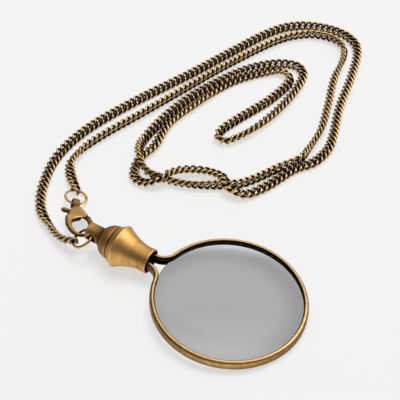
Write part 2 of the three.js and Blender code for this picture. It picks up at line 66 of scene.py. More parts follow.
# How finely forms are drawn
SHARP_ANGLE = math.radians(38)
LENS_SHARP_ANGLE = math.radians(25)
LATHE_STEPS = 128
CURVE_STEPS = 40
RING_STEPS = 97
RING_SIDES = 16
HOLE_SIDES = 48
PIN_STEPS = 32
SPRING_SIDES = 10
LENS_PROFILE_STEPS = 24
RIM_RING_STEPS = 240
RIM_BEND_STEPS = 20
RIM_LEG_STEPS = 10
CROWN_STEPS = 12
CORNER_STEPS = 4
ROLL_STEPS = 73
LINK_STEPS = 28
LINK_SIDES = 10
ROUTE_SPACING = 0.0002
OUTLINE_SPACING = 0.0002
BAR_SPACING = 0.0005
SPRING_SPACING = 0.0001
FIELD_STEP = 0.00011

# Lens and rim
LENS_RADIUS = 0.021
LENS_EDGE = 0.001
LENS_CURVE_RADIUS = 0.12
RIM_WALL = 0.0014
RIM_WIDTH = 0.003
RIM_LIP = 0.0004
RIM_ROUNDING = 0.0007
RIM_CROWN = (0.00092, 0.0011)
RIM_INNER_CROWN = (0.00048, 0.0006)
RIM_FOOT_HEIGHT = 0.0009
RIM_EDGE = 0.0001
GROOVE_ROOM = 0.0003
LEG_OFFSET = 0.0019
LEG_BEND_RADIUS = 0.0046
LEG_DEPTH = 0.0065

# Bell cap
MOUTH_GAP = 0.0033
FLARE_LENGTH = 0.0101
BAND_LENGTH = 0.0023
DOME_LENGTH = 0.0038
NECK_LENGTH = 0.0047
MOUTH_BORE = 0.0032
MOUTH_WALL = 0.00055
WAIST_WALL = 0.0004
RIDGE_RADIUS = 0.006315
DOME_RADIUS = 0.00505
DOME_FOOT_RADIUS = 0.0029
NECK_RADIUS = 0.0026
NECK_WALL = 0.00065
NECK_END_PLACE = 0.033912
CROSS_HOLE_FROM_END = 0.00235
CROSS_HOLE_RADIUS = 0.0015
NECK_LIP = 0.00025
MOUTH_LIP = 0.0002

# Rings and chain
RING_RADIUS = 0.0032
RING_WIRE = 0.0008
RING_SPLIT = 0.00025
LINK_HALF_LENGTH = 0.0015
LINK_HALF_WIDTH = 0.0013
LINK_WIRE = 0.00095
LINK_PITCH = 0.002
LINK_HALF_TWIST = math.radians(-56)
LINK_CLEARANCE = 0.00012

# Clasp, in its own plane: +Y from the eye to the claw, +X to the hook's back
# The box round the clasp's fields
CLASP_LOWER = (-0.0056, -0.0022, -0.002)
CLASP_UPPER = (0.0058, 0.0187, 0.002)
CLASP_TOP = 0.0014
CLASP_FOOT = -0.001
CLASP_ROUNDING = 0.001
# The dome's fall across and along the shield, per metre
SHIELD_DOME = (52, 14)
SHIELD_CROWN = 0.0085
EYE_RADIUS = 0.0015
EYE_HOLE_RADIUS = 0.00095
EYE_WIDTH = 0.0021
EYE_FILLET = 0.0005
SLOT_HEIGHT = 0.0013
LEVER_THICKNESS = 0.001
LEVER_ROUNDING = 0.0002
LEVER_ARM_RADIUS = 0.0006
LEVER_BOSS_RADIUS = 0.00085
SPRING_WIRE = 0.00036
SPRING_LINE = [
    (-0.0007, 0.0037, 0), (-0.0002, 0.0033, 0), (0.0004, 0.0031, 0), (0.00085, 0.0034, 0),
    (0.001, 0.004, 0), (0.00105, 0.0046, 0),
]
PIN_PLACE = (-0.0016, 0.0056)
PIN_RADIUS = 0.00045
PIN_CLEARANCE = 0.00015
PIN_TOP = 0.00065
KNOB_PLACE = (0.00395, 0.0054)
KNOB_SIZE = (0.001, 0.0007, 0.00075)
KNOB_FILLET = 0.0003
CLASP_FACE = [
    (0.00095, 0.0002), (0.00105, 0.0016), (0.00145, 0.003), (0.0022, 0.0048), (0.003, 0.0068),
    (0.0036, 0.009), (0.00375, 0.0112), (0.0035, 0.0124), (0.003, 0.0132), (0.0021, 0.0131),
    (0.0, 0.0118), (-0.003, 0.0102), (-0.00395, 0.0082), (-0.00385, 0.0064), (-0.0034, 0.0049),
    (-0.0026, 0.0035), (-0.0016, 0.0019), (-0.00105, 0.0009), (-0.00095, 0.0002),
]
WINDOW_OUTLINE = [
    (0.00255, 0.0145), (0.0025, 0.0127), (0.002, 0.0112), (0.0012, 0.0102), (0.0003, 0.00955),
    (-0.0007, 0.00895), (-0.0016, 0.0084), (-0.0023, 0.00765), (-0.0029, 0.0069), (-0.0036, 0.00625),
    (-0.0058, 0.0056), (-0.0066, 0.011), (-0.004, 0.016), (0.001, 0.0165),
]
WINDOW_EDGE = 0.00035
UNDERCUT_TOP = -0.0006
UNDERCUT_LEAN = 0.15
UNDERCUT_SLOPE = 1.6
UNDERCUT_DEPTH = 0.0022
HOOK_FILLET = 0.0004
HOOK_LINE = [
    (0.003, 0.0092, 0.00095), (0.0032, 0.0112, 0.00085), (0.00315, 0.0132, 0.0008),
    (0.0028, 0.015, 0.00074), (0.0021, 0.0163, 0.00068), (0.0012, 0.0171, 0.00062),
    (0.0003, 0.0173, 0.00056), (-0.0007, 0.017, 0.0005), (-0.00165, 0.0163, 0.00045),
]
GATE_LINE = [
    (-0.0033, 0.0068, 0.00088), (-0.00385, 0.0086, 0.00092), (-0.004, 0.0102, 0.0009),
    (-0.0037, 0.0124, 0.0008), (-0.0026, 0.0149, 0.0007),
]
GATE_FLATNESS = 0.62
GATE_FILLET = 0.0002
SLOT_OUTLINE = [
    (0.0055, 0.001), (0.0055, 0.00635), (0.0012, 0.0065), (-0.0002, 0.0072), (-0.001, 0.0098),
    (-0.0055, 0.0098), (-0.0055, 0.0037), (-0.0012, 0.0033), (0.0, 0.0026), (0.0016, 0.0019),
]

# Wear, with painted light on some pieces: 0 is dark patina and painted shade, 1 is rubbed bright metal and
# painted highlight
RING_BARE = 0.92
PIN_BARE = 0.7
LINK_WEAR_AND_SHADE_START = 0.3
LINK_WEAR_AND_SHADE_SPAN = 0.45
RIM_PATINA = 0.06
# Rim: its top edge is rubbed bright with a painted highlight, its side towards the viewer gets a painted
# highlight, and it is darker low down
RIM_TOP_WEAR_AND_HIGHLIGHT = 0.9
RIM_TOP_FROM = 0.88
RIM_SIDE_BARE = 0.42
RIM_NEAR_SIDE_HIGHLIGHT = 0.36
RIM_LOW_DARKENING = 0.05
BELL_PATINA = 0.04
BORE_EDGE = 0.0002
HOLE_RUBBED_REACH = 0.0005
# A cast form's level, what a sharper bend adds to it, as wear and a painted highlight on raised edges, and
# how often it is evened out
CLASP_EDGE_WEAR_AND_HIGHLIGHT = (0.8, 0.00012, 3)
LEVER_EDGE_WEAR_AND_HIGHLIGHT = (0.45, 0.0001, 4)
# The clasp is darker low on its sides (by height) and by the eye (by distance), and its window's wall holds
# patina and painted shade
CLASP_LOW_SIDE_LEVELS = ((-0.00017, 0.00095), (0.2, 1))
CLASP_EYE_LEVELS = ((0.001, 0.0034), (0.6, 1))
WALL_REACH = 0.0003
WALL_TOP = 0.00105
WALL_END = 0.0125
WALL_PATINA_AND_SHADE = 0.08

# The chain's route on the table, from the upper ring, round its loops and back to the lower ring.
# Points without a height lie flat
FLAT_HEIGHT = 0.001
UPPER_ROUTE = [
    (0.01635, 0.0498, 0.00132), (0.0206, 0.0548, 0.00132), (0.0258, 0.05847, 0.00105), (0.03242, 0.05893),
    (0.04128, 0.05698), (0.05663, 0.05186), (0.07288, 0.04653), (0.09127, 0.04051), (0.11198, 0.03193),
    (0.11787, 0.02758), (0.12158, 0.02219), (0.12238, 0.01528), (0.12003, 0.01077), (0.11597, 0.00862),
    (0.1035, 0.00618), (0.0906, 0.0021), (0.0784, -0.00128), (0.0702, -0.002), (0.0664, -0.0024, 0.0016),
    (0.0634, -0.0028, 0.0025), (0.061, -0.0024, 0.0028), (0.0592, -0.001, 0.0021),
    (0.0578, 0.0006, 0.0014), (0.0558, 0.0022), (0.049, 0.0056), (0.04427, 0.00885, 0.00095),
    (0.0406, 0.014, 0.00095), (0.03672, 0.02092), (0.03518, 0.02556, 0.00095),
    (0.03453, 0.03092, 0.00095), (0.03417, 0.036, 0.0017), (0.03746, 0.04077, 0.00305),
    (0.04145, 0.04327, 0.0023), (0.04601, 0.04455, 0.0011), (0.05355, 0.04479),
]
MIDDLE_ROUTE = [
    (0.06606, 0.04353), (0.0775, 0.0405), (0.09349, 0.03315), (0.10068, 0.02637), (0.10297, 0.0208),
    (0.10181, 0.01729), (0.09887, 0.01551), (0.08575, 0.01452), (0.07046, 0.01663), (0.06153, 0.02022),
    (0.0588, 0.0226), (0.05926, 0.02516), (0.06219, 0.02573), (0.06922, 0.02393), (0.08363, 0.01937),
    (0.09471, 0.01831), (0.09729, 0.02006), (0.09772, 0.0238), (0.08717, 0.0336), (0.0748, 0.03807),
    (0.06825, 0.03969),
]
LOWER_ROUTE = [
    (-0.0036, 0.03696, 0.00459), (-0.0037, 0.04, 0.00345), (-0.0024, 0.0439, 0.0022),
    (0.0002, 0.0485, 0.00145), (0.00359, 0.05367, 0.0012), (0.00887, 0.05783, 0.00105),
    (0.01521, 0.06085), (0.02393, 0.06347), (0.03288, 0.06384), (0.04308, 0.06236), (0.05941, 0.05722),
    (0.08309, 0.04793), (0.09664, 0.04318), (0.11505, 0.03608), (0.12136, 0.0316), (0.12548, 0.02451),
    (0.12672, 0.0149), (0.12392, 0.00827), (0.11944, 0.00522), (0.1072, 0.00172), (0.09109, -0.00175),
    (0.07925, -0.0055), (0.0732, -0.0071), (0.0698, -0.0073), (0.0665, -0.0069), (0.0639, -0.0062),
    (0.062, -0.0051), (0.0583, -0.0025), (0.04603, 0.00193), (0.04029, 0.00534, 0.0016),
    (0.03929, 0.01034, 0.00305), (0.04203, 0.01384, 0.00305), (0.04271, 0.02056, 0.002),
    (0.03978, 0.02592, 0.0024), (0.03597, 0.02848, 0.00305), (0.03173, 0.03006, 0.0029),
    (0.02957, 0.03395, 0.0013), (0.03042, 0.03795, 0.00095), (0.03465, 0.04048, 0.00095),
    (0.03926, 0.04111, 0.00095), (0.045, 0.0403), (0.05627, 0.04189),
]
# How far the chain is rolled about its length: metres from the upper ring, degrees
CHAIN_ROLL = [
    (0.0, 48), (0.012, -40), (0.022, -80), (0.122, -80), (0.132, -65), (0.144, -125), (0.168, -120),
    (0.186, -100), (0.197, -80), (0.217, -80), (0.228, -115), (0.242, -100), (0.256, -130), (0.275, -140),
    (0.29, -160), (0.355, -155), (0.366, -125), (0.384, -120), (0.396, -140), (0.414, -140),
    (0.426, -200), (0.434, -210), (0.445, -165), (0.49, -160), (0.502, -215), (0.512, -200), (0.53, -200),
    (0.541, -172), (0.563, -172), (0.576, -220), (0.745, -220), (0.755, -180), (0.772, -165),
    (0.782, -240), (0.79, -240), (0.8, -206),
]


# Camera
def look_at(place, target):
    return (Vector(target) - Vector(place)).to_track_quat("-Z", "Y").to_matrix().to_4x4()


view_away = Vector((math.cos(VIEW_HEADING), math.sin(VIEW_HEADING), 0))
view_right = Vector((view_away.y, -view_away.x, 0))
view_up = Vector((0, 0, 1))
camera = bpy.data.objects.new("camera", bpy.data.cameras.new("camera"))
camera.data.lens = LENS_OF_CAMERA
camera.data.sensor_width = SENSOR_WIDTH
camera.data.clip_start = NEAREST_SEEN
camera.data.clip_end = FURTHEST_SEEN
camera_place = VIEW_TARGET + VIEW_DISTANCE * (
    math.sin(VIEW_ELEVATION) * view_up - math.cos(VIEW_ELEVATION) * view_away
)
camera.matrix_world = Matrix.Translation(camera_place) @ look_at(camera_place, VIEW_TARGET)
scene.collection.objects.link(camera)
scene.camera = camera


# Meshes
def add_mesh(name, points, faces, sharp_angle=SHARP_ANGLE):
    mesh = bpy.data.meshes.new(name)
    mesh.from_pydata([tuple(point) for point in points], [], faces)
    made = bpy.data.objects.new(name, mesh)
    scene.collection.objects.link(made)
    tidy_mesh(mesh, sharp_angle)
    return made


def tidy_mesh(mesh, sharp_angle=SHARP_ANGLE):
    """Joins doubled points, turns every face outwards and shades it smooth up to the sharp angle."""
    shape = bmesh.new()
    shape.from_mesh(mesh)
    bmesh.ops.remove_doubles(shape, verts=shape.verts, dist=1e-7)
    bmesh.ops.recalc_face_normals(shape, faces=shape.faces)
    for face in shape.faces:
        face.smooth = True
    for edge in shape.edges:
        edge.smooth = len(edge.link_faces) == 2 and edge.calc_face_angle(0) < sharp_angle
    shape.to_mesh(mesh)
    shape.free()


def grid_faces(rows, columns, loop_rows):
    """Quads over rows of points; every row is a loop, and the rows may close on themselves."""
    faces = []
    for row in range(rows if loop_rows else rows - 1):
        here = row * columns
        there = (row + 1) % rows * columns
        for column in range(columns):
            beside = (column + 1) % columns
            faces.append((here + column, here + beside, there + beside, there + column))
    return faces


def sweep(centres, sides, ups, section):
    """A bar with flat ends: the section's (across, up) points set at each centre."""
    section = np.asarray(section)
    rows = []
    for centre, side, rise in zip(centres, sides, ups):
        rows.append(centre + (section[:, :1] * side + section[:, 1:] * rise))
    points = np.concatenate(rows)
    count = len(section)
    faces = grid_faces(len(rows), count, False)
    faces.append(tuple(range(count)))
    faces.append(tuple(range(len(points) - count, len(points))))
    return points, faces


def flat_sweep(line, section):
    """A bar along a line in the XY plane, with its section's second side upright."""
    heading = directions(line)
    sides = np.stack([heading[:, 1], -heading[:, 0], np.zeros(len(line))], axis=1)
    return sweep(line, sides, [np.array((0, 0, 1))] * len(line), section)


def lathe(profile, steps):
    """Turns (radius, along) points about the Y axis. A profile that isn't on the axis closes on itself."""
    radius, along = np.asarray(profile).T
    turns = np.linspace(0, 2 * math.pi, steps, endpoint=False)
    rows = [np.stack([radius * math.sin(a), along, radius * math.cos(a)], axis=1) for a in turns]
    count = len(radius)
    faces = grid_faces(steps, count, True)
    if radius[0] == 0:
        faces = [face for face in faces if face[0] % count != count - 1]
    return np.concatenate(rows), faces


def moved(points, matrix):
    matrix = np.array(matrix)
    return np.asarray(points) @ matrix[:3, :3].T + matrix[:3, 3]


def arc(centre, radius, start, end, steps):
    """Points on a circle, from one angle to another in degrees."""
    turns = np.radians(np.linspace(start, end, steps))
    return np.stack([centre[0] + radius * np.cos(turns), centre[1] + radius * np.sin(turns)], axis=1)


def circle_section(radius, sides):
    return arc((0, 0), radius, 0, 360, sides + 1)[:-1]


def smooth_line(points, spacing):
    """A centripetal Catmull-Rom curve through the points, evenly spaced, and the length up to each place."""
    points = [np.array(point, dtype=float) for point in points]
    ends = [2 * points[0] - points[1]] + points + [2 * points[-1] - points[-2]]
    dense = []
    for before, start, end, after in zip(ends, ends[1:], ends[2:], ends[3:]):
        legs = ((before, start), (start, end), (end, after))
        gaps = [max(np.linalg.norm(b - a) ** 0.5, 1e-6) for a, b in legs]
        leave = (start - before) / gaps[0] - (end - before) / (gaps[0] + gaps[1]) + (end - start) / gaps[1]
        arrive = (end - start) / gaps[1] - (after - start) / (gaps[1] + gaps[2]) + (after - end) / gaps[2]
        leave, arrive = leave * gaps[1], arrive * gaps[1]
        for t in np.linspace(0, 1, CURVE_STEPS, endpoint=False):
            dense.append(
                (2 * t**3 - 3 * t**2 + 1) * start
                + (t**3 - 2 * t**2 + t) * leave
                + (3 * t**2 - 2 * t**3) * end
                + (t**3 - t**2) * arrive
            )
    dense.append(points[-1])
    dense = np.array(dense)
    length = np.concatenate([[0], np.cumsum(np.linalg.norm(np.diff(dense, axis=0), axis=1))])
    count = max(2, int(round(length[-1] / spacing)) + 1)
    even = np.linspace(0, length[-1], count)
    return np.stack([np.interp(even, length, dense[:, axis]) for axis in range(3)], axis=1), even


def directions(line):
    heading = np.gradient(line, axis=0)
    return heading / np.linalg.norm(heading, axis=1, keepdims=True)


def unit(vector):
    return np.asarray(vector) / np.linalg.norm(vector)


# Materials
# The brass ramp runs from dark patina, also used as painted shade, to polished metal, also used as a painted
# highlight on edges
DARK_PATINA_AND_SHADE = (0.012, 0.007, 0.003)
POLISHED_AND_HIGHLIGHT = (0.88, 0.56, 0.2)
# The painted shadow of the rim, seen through the lens, is a ring about this centre
LENS_PAINTED_SHADOW_CENTRE = Vector((0, -0.0121, 0.0033)) - 0.0025 * view_right - 0.0025 * view_away
LENS_PAINTED_SHADOW_REACH = 0.028
LENS_PAINTED_SHADOW_STRETCH = 1.15
# Levels of grey: the glass's grey tint with painted light, paler towards the near edge and in a thin band at
# the far edge, from the lens's far edge to its near edge; and a painted shadow of the rim, a darker crescent
# near the far and right edges, outwards from that shadow's centre
LENS_TINT_AND_LIGHT_LEVELS = [(0.06, 0.7), (0.15, 0.45), (0.55, 0.445), (0.7, 0.475), (0.8, 0.54), (0.9, 0.66), (1.0, 0.76)]
LENS_PAINTED_RIM_SHADOW = [(0.58, 1.0), (0.74, 0.8), (0.81, 0.74), (0.86, 0.86), (0.93, 1.1)]
LENS_DEPTH = {"From Min": -0.016, "From Max": 0.03}
LENS_HAZE = {"To Min": 0.01, "To Max": 0.05}
LENS_SHADOW = 0.85
GLASS_IOR = 1.5


def new_material(name):
    material = bpy.data.materials.new(name)
    material.use_nodes = True
    tree = material.node_tree
    return material, tree, tree.nodes["Principled BSDF"]


def rgba(colour):
    """A colour or a level of grey, as a node takes it."""
    return (*colour, 1) if isinstance(colour, tuple) else (colour, colour, colour, 1)


def add_node(tree, kind, values=None, operation=None):
    """A shader node with its inputs set, by name or by place."""
    node = tree.nodes.new("ShaderNode" + kind)
    if operation:
        node.operation = operation
    for key, value in (values or {}).items():
        node.inputs[key].default_value = value
    return node


def math_node(tree, operation, *parts):
    """Works on numbers and on the outputs of other nodes. Gives its output."""
    node = add_node(tree, "Math", operation=operation)
    for place, part in enumerate(parts):
        if isinstance(part, float):
            node.inputs[place].default_value = part
        else:
            tree.links.new(part, node.inputs[place])
    return node.outputs[0]


def dot_node(tree, source, direction):
    """How far another node's vector goes in a direction."""
    node = add_node(tree, "VectorMath", {1: direction}, "DOT_PRODUCT")
    tree.links.new(source, node.inputs[0])
    return node.outputs["Value"]


def range_node(tree, source, values):
    """Maps another node's output from one range to another."""
    node = add_node(tree, "MapRange", values)
    tree.links.new(source, node.inputs["Value"])
    return node.outputs["Result"]


def noise_node(tree, place, values):
    node = add_node(tree, "TexNoise", values)
    tree.links.new(place, node.inputs["Vector"])
    return node.outputs["Fac"]


def ramp_node(tree, source, stops, interpolation="LINEAR"):
    """Colours another node's output by (position, colour) stops."""
    node = add_node(tree, "ValToRGB")
    ramp = node.color_ramp
    ramp.interpolation = interpolation
    for element, (position, colour) in zip(ramp.elements, (stops[0], stops[-1])):
        element.position = position
        element.color = rgba(colour)
    for position, colour in stops[1:-1]:
        ramp.elements.new(position).color = rgba(colour)
    tree.links.new(source, node.inputs["Fac"])
    return node.outputs["Color"]


def mix_surface(tree, share, plain, other):
    """Shows another shader in place of the plain one, by a share."""
    mix = add_node(tree, "MixShader")
    for place, output in enumerate((share, plain.outputs[0], other.outputs[0])):
        tree.links.new(output, mix.inputs[place])
    tree.links.new(mix.outputs[0], tree.nodes["Material Output"].inputs["Surface"])


def aged_brass(name, middle, bright, roughness, grain, recess_reach, marks=(1, 1, 1), unevenness=0.7):
    """Brass with dark patina and painted shade in its recesses and where the table is near, rubbed bright
    where it is touched, and a fine uneven grain; its bare values also carry painted highlight and shade on
    some pieces.
    """
    material, tree, shader = new_material(name)
    place = add_node(tree, "TexCoord").outputs["Object"]
    stretch = add_node(tree, "Mapping", {"Scale": marks})
    tree.links.new(place, stretch.inputs["Vector"])
    cloud = noise_node(tree, stretch.outputs["Vector"], {"Scale": grain, "Detail": 5, "Roughness": 0.65})
    # Ambient occlusion darkens where other metal or the table is near: patina in hollows, and painted shade
    # between links and under the pieces
    recess = add_node(tree, "AmbientOcclusion", {"Distance": recess_reach})
    recess.samples = 6
    # The bare attribute holds wear, and on some pieces painted highlight and painted shade
    bare = add_node(tree, "Attribute")
    bare.attribute_name = "bare"
    open_metal = math_node(tree, "MULTIPLY", recess.outputs["AO"], bare.outputs["Fac"])
    mottle = math_node(tree, "MULTIPLY_ADD", cloud, unevenness, -0.5 * unevenness)
    wear_and_light_level = math_node(tree, "ADD", mottle, open_metal)
    stops = [(0.15, DARK_PATINA_AND_SHADE), (0.55, middle), (0.9, bright), (1.0, POLISHED_AND_HIGHLIGHT)]
    tree.links.new(ramp_node(tree, wear_and_light_level, stops), shader.inputs["Base Color"])
    span = {"From Min": 0.2, "From Max": 1.0, "To Min": roughness + 0.22, "To Max": roughness - 0.05}
    tree.links.new(range_node(tree, wear_and_light_level, span), shader.inputs["Roughness"])
    bump = add_node(tree, "Bump", {"Strength": 0.15, "Distance": 0.00005})
    tree.links.new(noise_node(tree, place, {"Scale": grain * 6, "Detail": 3}), bump.inputs["Height"])
    tree.links.new(bump.outputs["Normal"], shader.inputs["Normal"])
    shader.inputs["Metallic"].default_value = 1.0
    return material


def lens_glass(name):
    """Grey glass that lets light through to the table, with painted light and a painted shadow of the rim in
    its grey: paler at one edge and darker along the other.
    """
    material, tree, shader = new_material(name)
    place = add_node(tree, "TexCoord").outputs["Object"]
    depth = range_node(tree, dot_node(tree, place, -view_away), LENS_DEPTH)
    oval = add_node(tree, "Mapping")
    oval.vector_type = "TEXTURE"
    oval.inputs["Location"].default_value = LENS_PAINTED_SHADOW_CENTRE
    oval.inputs["Rotation"].default_value = (0, 0, VIEW_HEADING)
    oval.inputs["Scale"].default_value = (1 / LENS_PAINTED_SHADOW_STRETCH, 1, 1)
    tree.links.new(place, oval.inputs["Vector"])
    reach = add_node(tree, "VectorMath", operation="LENGTH")
    tree.links.new(oval.outputs["Vector"], reach.inputs[0])
    span = math_node(tree, "MULTIPLY", reach.outputs["Value"], 1 / LENS_PAINTED_SHADOW_REACH)
    # The glass's grey carries painted light, paler towards the near edge, and a painted shadow of the rim,
    # darker near the far and right edges
    pale = ramp_node(tree, depth, LENS_TINT_AND_LIGHT_LEVELS)
    dim = ramp_node(tree, span, LENS_PAINTED_RIM_SHADOW)
    tree.links.new(math_node(tree, "MULTIPLY", pale, dim), shader.inputs["Base Color"])
    shader.inputs["Transmission Weight"].default_value = 1.0
    shader.inputs["IOR"].default_value = GLASS_IOR
    haze = range_node(tree, noise_node(tree, place, {"Scale": 160}), LENS_HAZE)
    tree.links.new(haze, shader.inputs["Roughness"])
    rays = add_node(tree, "LightPath")
    clear = add_node(tree, "BsdfTransparent", {"Color": rgba(LENS_SHADOW)})
    mix_surface(tree, rays.outputs["Is Shadow Ray"], shader, clear)
    return material


def plain_metal(name, colour, roughness, grain, metallic=1.0):
    material, tree, shader = new_material(name)
    cloud = noise_node(tree, add_node(tree, "TexCoord").outputs["Object"], {"Scale": grain})
    darker = tuple(0.7 * part for part in colour)
    tree.links.new(ramp_node(tree, cloud, [(0.0, darker), (1.0, colour)]), shader.inputs["Base Color"])
    shader.inputs["Metallic"].default_value = metallic
    shader.inputs["Roughness"].default_value = roughness
    return material


cast_brass = aged_brass(
    "cast brass", (0.32, 0.176, 0.058), (0.8, 0.49, 0.18),
    roughness=0.28, grain=700, recess_reach=0.004, unevenness=0.5,
)
clasp_brass = aged_brass(
    "clasp brass", (0.3, 0.15, 0.037), (0.8, 0.45, 0.125),
    roughness=0.3, grain=400, recess_reach=0.003, unevenness=0.3,
)
turned_brass = aged_brass(
    "turned brass", (0.35, 0.182, 0.052), (0.77, 0.44, 0.138),
    roughness=0.43, grain=150, recess_reach=0.004, marks=(1, 4, 1), unevenness=0.5,
)
wire_brass = aged_brass(
    "wire brass", (0.25, 0.132, 0.04), (0.7, 0.43, 0.15),
    roughness=0.28, grain=500, recess_reach=0.0012,
)
chain_brass = aged_brass(
    "chain brass", (0.3, 0.193, 0.08), (0.73, 0.51, 0.25),
    roughness=0.27, grain=500, recess_reach=0.0012,
)
grey_glass = lens_glass("grey glass")
ground_edge = plain_metal("ground lens edge", (0.035, 0.028, 0.02), 0.6, 700, metallic=0.0)
solder_metal = plain_metal("soft solder", (0.4, 0.38, 0.34), 0.55, 900)
spring_steel = plain_metal("spring steel", (0.55, 0.55, 0.55), 0.3, 900)


def finish_piece(made, material, body, slot, *replaced):
    made.data.materials.clear()
    made.data.materials.append(material)
    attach(made, body)
    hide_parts(*replaced)


def set_wear_and_light(made, values):
    """Stores how bare the metal is at each point, with painted light on some pieces: 0 is dark patina and
    painted shade, 1 is rubbed bright metal and painted highlight.
    """
    values = np.broadcast_to(np.clip(values, 0, 1), len(made.data.vertices))
    attribute = made.data.attributes.new("bare", "FLOAT", "POINT")
    attribute.data.foreach_set("value", values.astype(np.float32))


def edge_wear_and_highlight(made, base, reach, passes):
    """How bare a cast form is: rubbed bright on raised edges, which also carry a painted highlight, dark in
    hollows, by how its surface bends.
    """
    mesh = made.data
    place = np.zeros(len(mesh.vertices) * 3)
    facing = np.zeros(len(mesh.vertices) * 3)
    pairs = np.zeros(len(mesh.edges) * 2, dtype=np.int64)
    mesh.vertices.foreach_get("co", place)
    mesh.vertices.foreach_get("normal", facing)
    mesh.edges.foreach_get("vertices", pairs)
    place, facing, pairs = place.reshape(-1, 3), facing.reshape(-1, 3), pairs.reshape(-1, 2)
    one, other = pairs.T
    apart = place[other] - place[one]
    bend = ((facing[other] - facing[one]) * apart).sum(axis=1) / np.maximum((apart**2).sum(axis=1), 1e-12)
    count = np.bincount(pairs.ravel(), minlength=len(place)).clip(1)
    value = np.bincount(one, bend, len(place)) + np.bincount(other, bend, len(place))
    value = base + reach * value / count
    for _ in range(passes):
        near = np.bincount(one, value[other], len(place)) + np.bincount(other, value[one], len(place))
        value = 0.5 * value + 0.5 * near / count
    return np.clip(value, 0, 1)


# Chain
def link_template():
    """One curb link: round wire in an oval loop whose ends are twisted apart."""
    along = np.linspace(0, 2 * math.pi, LINK_STEPS, endpoint=False)
    slope = np.hypot(LINK_HALF_WIDTH * np.cos(along), LINK_HALF_LENGTH * np.sin(along))
    out_x = LINK_HALF_WIDTH * np.cos(along) / slope
    out_y = LINK_HALF_LENGTH * np.sin(along) / slope
    outwards, z = circle_section(LINK_WIRE / 2, LINK_SIDES).T
    rows = []
    for i in range(LINK_STEPS):
        twist = LINK_HALF_TWIST * math.cos(along[i])
        x = LINK_HALF_LENGTH * math.cos(along[i]) + outwards * out_x[i]
        y = LINK_HALF_WIDTH * math.sin(along[i]) + outwards * out_y[i]
        turned_y = y * math.cos(twist) - z * math.sin(twist)
        turned_z = y * math.sin(twist) + z * math.cos(twist)
        rows.append(np.stack([x, turned_y, turned_z], axis=1))
    return np.concatenate(rows), grid_faces(LINK_STEPS, LINK_SIDES, True)


def rest_height(roll):
    """How high a link's middle lies above the table when the chain is rolled."""
    along = np.linspace(0, 2 * math.pi, ROLL_STEPS)
    reach = LINK_HALF_WIDTH * np.sin(along) * np.sin(LINK_HALF_TWIST * np.cos(along) + roll)
    return np.abs(reach).max() + LINK_WIRE / 2


chain_route = UPPER_ROUTE + MIDDLE_ROUTE + LOWER_ROUTE[::-1]
chain_route = [point if len(point) == 3 else (*point, FLAT_HEIGHT) for point in chain_route]
chain_line, chain_length = smooth_line(chain_route, ROUTE_SPACING)
chain_heading = directions(chain_line)
first_link = LINK_HALF_LENGTH - (RING_WIRE / 2 + LINK_WIRE / 2 + LINK_CLEARANCE)
link_span = chain_length[-1] - 2 * first_link
link_count = int(round(link_span / LINK_PITCH)) + 1
roll_places, roll_angles = zip(*CHAIN_ROLL)


def chain_mesh():
    """The links' points and faces, and how far each point looks outwards from the chain's middle."""
    template, template_faces = link_template()
    outward = template * (0, 1, 1)
    outward /= np.maximum(np.linalg.norm(outward, axis=1, keepdims=True), 1e-9)
    middle = template.reshape(LINK_STEPS, LINK_SIDES, 3).mean(axis=1).repeat(LINK_SIDES, axis=0)
    facing = ((template - middle) / (LINK_WIRE / 2) * outward).sum(axis=1)
    points = []
    faces = []
    for i in range(link_count):
        at = first_link + link_span * i / (link_count - 1)
        k = int(np.searchsorted(chain_length, at))
        heading = chain_heading[k]
        level = unit(np.cross((0, 0, 1), heading))
        rise = np.cross(heading, level)
        roll = math.radians(np.interp(at, roll_places, roll_angles))
        across = math.cos(roll) * level + math.sin(roll) * rise
        normal = np.cross(heading, across)
        lift = max(0, rest_height(roll) - chain_line[k][2])
        centre = chain_line[k] + lift * (np.array(view_up) - np.array(view_away))
        placed = template[:, :1] * heading + template[:, 1:2] * across + template[:, 2:] * normal
        first = len(points) * len(template)
        points.append(centre + placed)
        faces.extend(tuple(first + corner for corner in face) for face in template_faces)
    return np.concatenate(points), faces, np.tile(facing, link_count)


chain_points, chain_faces, chain_facing = chain_mesh()
chain = add_mesh("curb_chain", chain_points, chain_faces)
# Links are rubbed bright outside; their inner sides keep patina and painted shade where the links meet
set_wear_and_light(chain, (chain_facing - LINK_WEAR_AND_SHADE_START) / LINK_WEAR_AND_SHADE_SPAN)
chain_nodes = [name for name in frame["nodes"] if name.startswith(("link_", "chain_run_"))]
finish_piece(chain, chain_brass, "chain", "chain_brass", *chain_nodes)


# Jump rings
def ring_piece(name, joint_name, cut_direction):
    joint = joints[joint_name]
    axis = unit(joint["axis"])
    start = unit(np.asarray(cut_direction) - np.dot(cut_direction, axis) * axis)
    beside = np.cross(axis, start)
    open_half = RING_SPLIT / RING_RADIUS / 2
    turns = np.linspace(open_half, 2 * math.pi - open_half, RING_STEPS)
    outs = [math.cos(a) * start + math.sin(a) * beside for a in turns]
    centres = [np.asarray(joint["pos_m"]) + RING_RADIUS * out for out in outs]
    points, faces = sweep(centres, outs, [axis] * len(outs), circle_section(RING_WIRE / 2, RING_SIDES))
    made = add_mesh(name, points, faces)
    set_wear_and_light(made, RING_BARE)
    return made


lower_ring = ring_piece("fine_lower_ring", "ring_lower_turn", (0.9, 0.4, 0.0))
upper_ring = ring_piece("fine_upper_ring", "ring_upper_turn", view_right)
finish_piece(lower_ring, wire_brass, "ring_lower", "ring_brass", "lower_ring")
finish_piece(upper_ring, wire_brass, "ring_upper", "ring_brass", "upper_ring")

